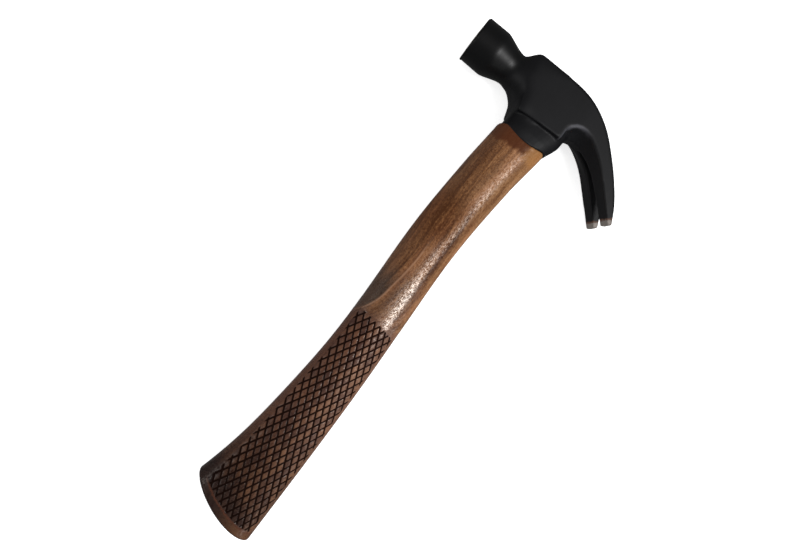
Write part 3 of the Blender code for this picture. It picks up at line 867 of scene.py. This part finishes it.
def wedge_wood():
    s = Shader("pale_end_grain")
    bent_x = s.add(s.x, s.multiply(s.noise((6, 6, 6)), 3.0))
    ring = s.math("FRACT", s.math("DIVIDE", bent_x, END_GRAIN_RING))
    pores = s.noise((0.25, 2.0, 0.25), detail=3)
    colour = s.ramp(s.add(s.multiply(ring, 0.35), s.multiply(pores, 0.6)), END_GRAIN_TONES)
    s.set(Base_Color=colour, Roughness=0.6, Normal=s.bump(pores, 0.08))
    return s.material


def wedge_steel():
    s = Shader("bare_wedge_steel")
    hammered = s.noise((1.2, 1.2, 1.2), detail=4)
    rust = s.step(s.noise((2.5, 2.5, 2.5), detail=5), 0.52, 0.68)
    s.set(Base_Color=s.mix(rust, WEDGE_STEEL, WEDGE_RUST), Metallic=s.less(rust),
          Roughness=s.add(s.multiply(hammered, 0.3), 0.25), Normal=s.bump(hammered, 0.12))
    return s.material


def give_material(obj, material):
    obj.data.materials.clear()
    obj.data.materials.append(material)


# ---- pieces -------------------------------------------------------------------------
head = make_head()
give_material(head, black_paint())
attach(head, "root")
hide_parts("head")

handle = make_handle()
give_material(handle, varnished_wood())
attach(handle, "root")
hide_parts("handle")

for name, material in (("wood_wedge", wedge_wood()), ("steel_wedge_front", wedge_steel()),
                       ("steel_wedge_rear", wedge_steel())):
    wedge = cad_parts[name]
    give_material(wedge, material)
    # The CAD mesh's faces have corners of their own, which the bevel needs joined.
    weld = wedge.modifiers.new("joined_faces", "WELD")
    weld.merge_threshold = 0.01 * MM
    bevel = wedge.modifiers.new("worn_edges", "BEVEL")
    bevel.width = WEDGE_EDGE_WEAR * MM
    bevel.segments = 2


# ---- camera, floor and light --------------------------------------------------------
CAMERA_PLACE = (-55.7, -183.6, 352.9)
CAMERA_AIM = (-5.95, -141.7, 0.0)
CAMERA_UP = (-0.59995, 0.79997, 0.01024)
LENS = 28.0
CLIP_START = 0.01
LIGHT_AIM = (0, -110, 10)
FLOOR_REACH = 4.0             # metres from the middle to each side
FLOOR_TONES = ((0.58, 0.58, 0.58), (0.62, 0.62, 0.62))
FLOOR_GLOW = 0.68             # it gives off a little light, so that its shadows stay faint
WHITE = (1.0, 1.0, 1.0)
WORLD_STRENGTH = 1.0
WORLD_REFLECTED = 0.15        # the world's strength in reflections, where black paint shows it


def look_at(obj, place, aim, up):
    backward = (place - aim).normalized()
    right = Vector(up).cross(backward).normalized()
    upward = backward.cross(right)
    obj.matrix_world = Matrix.Translation(place) @ Matrix((right, upward, backward)).transposed().to_4x4()


def make_camera():
    camera = add_object("camera", bpy.data.cameras.new("camera"))
    camera.data.lens = LENS
    camera.data.clip_start = CLIP_START
    look_at(camera, Vector(to_world(CAMERA_PLACE)), Vector(to_world(CAMERA_AIM)), CAMERA_UP)
    bpy.context.scene.camera = camera


def area_light(name, direction, distance, size, power, up=(0, 0, 1)):
    light = bpy.data.lights.new(name, "AREA")
    light.shape = "RECTANGLE"
    light.size, light.size_y = size
    light.energy = power
    aim = Vector(to_world(LIGHT_AIM))
    look_at(add_object(name, light), aim + Vector(direction).normalized() * distance, aim, up)


def make_floor():
    low_z = CAD_BOX[0].z
    corners = [(x, y, low_z) for x, y in ((-1, -1), (1, -1), (1, 1), (-1, 1))]
    data = bpy.data.meshes.new("floor")
    data.from_pydata([(x * FLOOR_REACH, y * FLOOR_REACH, z) for x, y, z in corners], [], [(0, 1, 2, 3)])
    floor = add_object("floor", data)
    s = Shader("pale_floor")
    s.set(Base_Color=s.mix(s.noise((1.5, 1.5, 1.5), detail=2), *FLOOR_TONES), Roughness=0.9,
          Emission_Color=WHITE, Emission_Strength=FLOOR_GLOW)
    give_material(floor, s.material)
    floor.visible_glossy = False


def make_world():
    """Even white surroundings, which count for less in reflections so that black paint stays black."""
    world = bpy.data.worlds.new("studio")
    world.use_nodes = True
    tree = world.node_tree
    background = tree.nodes["Background"]
    background.inputs["Color"].default_value = (*WHITE, 1.0)
    ray = tree.nodes.new("ShaderNodeLightPath")
    level = tree.nodes.new("ShaderNodeMapRange")
    level.inputs["To Min"].default_value = WORLD_STRENGTH
    level.inputs["To Max"].default_value = WORLD_REFLECTED
    tree.links.new(ray.outputs["Is Glossy Ray"], level.inputs["Value"])
    tree.links.new(level.outputs["Result"], background.inputs["Strength"])
    bpy.context.scene.world = world


make_camera()
make_floor()
make_world()
area_light("softbox_above", (0.50, 0.13, 0.86), 1.1, (0.40, 0.22), 8.5, up=(-0.84, 0.33, 0.43))
area_light("softbox_right", (0.94, -0.29, 0.30), 1.2, (0.8, 0.3), 2.6)
area_light("softbox_left", (-0.80, -0.40, 0.45), 1.2, (0.6, 0.4), 3.0)
bpy.context.scene.view_settings.view_transform = "Standard"
